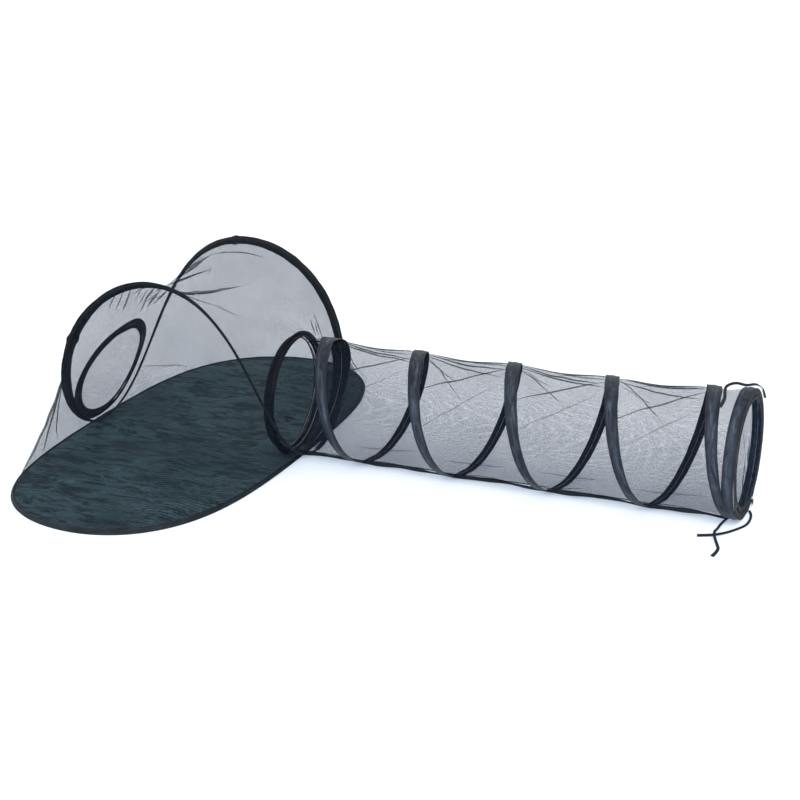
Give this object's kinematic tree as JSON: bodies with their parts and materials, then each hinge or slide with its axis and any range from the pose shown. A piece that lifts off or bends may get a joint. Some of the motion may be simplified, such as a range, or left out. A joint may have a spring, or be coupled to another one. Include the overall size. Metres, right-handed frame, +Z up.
{
  "type": "pet tent with tunnel",
  "caption": "Pop-up mesh pet tent with a green floor and a long round mesh play tunnel on a spring helix, with zipped round doors.",
  "frame": {"origin": "middle of the tent's floor, on the ground, on the tunnel's centre plane", "axes": "+X along the tunnel away from the tent, +Y along the tent's long axis, +Z up"},
  "size_m": [1.9929, 1.5094, 0.5367],
  "materials": {
    "mesh": "fine black polyester mesh, sheer",
    "sleeve": "black woven polyester binding",
    "satin_tape": "blue-black satin tape with a light centre stitch",
    "floor_cloth": "dark green coated polyester, crinkled",
    "zip_tape": "black zip tape with nylon coil",
    "ribbon": "black flat ribbon",
    "spring_steel": "oiled spring wire",
    "ferrule_steel": "crimped ferrule",
    "zip_metal": "black lacquered slider",
    "zip_pull": "black pull with a bright tip"
  },
  "bodies": {
    "root": {"middle_floor": "floor_cloth", "middle_binding": "sleeve", "middle_hoop_wire": "spring_steel", "near_leg_wire": "spring_steel", "near_leg_sleeve": "sleeve", "far_leg_wire": "spring_steel", "far_leg_sleeve": "sleeve", "near_corner_panels": "mesh", "far_corner_panels": "mesh", "front_panel": "mesh", "back_panel": "mesh", "top_panel": "mesh", "port_binding": "sleeve", "mouth_hoop_tape": "sleeve", "mouth_hoop_wire": "spring_steel", "mouth_hoop_ferrule": "ferrule_steel", "tunnel_mesh": "mesh", "tunnel_seam": "sleeve", "helix_wire": "spring_steel", "helix_tape": "satin_tape", "back_zip_tape": "zip_tape"},
    "near_wing": {"near_floor": "floor_cloth", "near_binding": "sleeve", "near_hoop_wire": "spring_steel", "near_bow_wire": "spring_steel", "near_bow_sleeve": "sleeve", "near_end_panel": "mesh", "floor_hoop_ferrule": "ferrule_steel"},
    "far_wing": {"far_floor": "floor_cloth", "far_binding": "sleeve", "far_hoop_wire": "spring_steel", "far_bow_wire": "spring_steel", "far_bow_sleeve": "sleeve", "far_end_panel": "mesh", "loop_ferrule": "ferrule_steel"},
    "exit_end": {"exit_hoop_tape": "sleeve", "exit_hoop_wire": "spring_steel", "exit_hoop_ferrule": "ferrule_steel", "exit_zip_tape": "zip_tape", "top_tie": "ribbon", "long_tie": "ribbon", "short_tie": "ribbon"},
    "exit_door": {"exit_door_edge": "sleeve", "exit_door_mesh": "mesh"},
    "exit_slider": {"exit_zip_slider": "zip_metal"},
    "exit_pull": {"exit_zip_pull": "zip_pull"},
    "back_door": {"back_door_edge": "sleeve", "back_door_mesh": "mesh"},
    "back_slider": {"back_zip_slider": "zip_metal"},
    "back_pull": {"back_zip_pull": "zip_pull"}
  },
  "joints": [
    {"name": "near_fold", "type": "hinge", "parent": "root", "child": "near_wing", "pos_m": [0, -0.185, 0.008], "axis": [1, 0, 0], "range_deg": [-28, 0], "stiffness_Nm_per_rad": 1.5, "springref_deg": 14.32, "deforming": ["near_leg_wire", "near_leg_sleeve", "near_corner_panels", "front_panel", "back_panel", "top_panel"]},
    {"name": "far_fold", "type": "hinge", "parent": "root", "child": "far_wing", "pos_m": [0, 0.185, 0.008], "axis": [1, 0, 0], "range_deg": [0, 28], "stiffness_Nm_per_rad": 1.5, "springref_deg": -14.32, "deforming": ["far_leg_wire", "far_leg_sleeve", "far_corner_panels"]},
    {"name": "tunnel_collapse", "type": "slide", "parent": "root", "child": "exit_end", "axis": [-1, 0, 0], "range_m": [0, 1.03], "stiffness_N_per_m": 4, "springref_m": -0.15, "deforming": ["tunnel_mesh", "tunnel_seam", "helix_wire", "helix_tape"]},
    {"name": "exit_door_swing", "type": "hinge", "parent": "exit_end", "child": "exit_door", "pos_m": [1.6018, 0, 0.0245], "axis": [0, 1, 0], "range_deg": [0, 90]},
    {"name": "exit_zip_travel", "type": "hinge", "parent": "exit_end", "child": "exit_slider", "pos_m": [1.6018, 0, 0.1795], "axis": [1, 0, 0], "range_deg": [0, 310]},
    {"name": "exit_pull_swing", "type": "hinge", "parent": "exit_slider", "child": "exit_pull", "pos_m": [1.6056, 0.05941, 0.03445], "axis": [0, -1, 0], "range_deg": [0, 70]},
    {"name": "back_door_swing", "type": "hinge", "parent": "root", "child": "back_door", "pos_m": [-0.35679, -0.02, 0.03104], "axis": [0, -1, 0], "range_deg": [0, 105]},
    {"name": "back_zip_travel", "type": "hinge", "parent": "root", "child": "back_slider", "pos_m": [-0.303, -0.02, 0.17], "axis": [-0.9354, 0, 0.3535], "range_deg": [-280, 0]},
    {"name": "back_pull_swing", "type": "hinge", "parent": "back_slider", "child": "back_pull", "pos_m": [-0.34577, 0.086, 0.07095], "axis": [0, 1, 0], "range_deg": [0, 60]}
  ],
  "couplings": [
    {"joint": "far_fold", "follows": "near_fold", "ratio": -1}
  ]
}
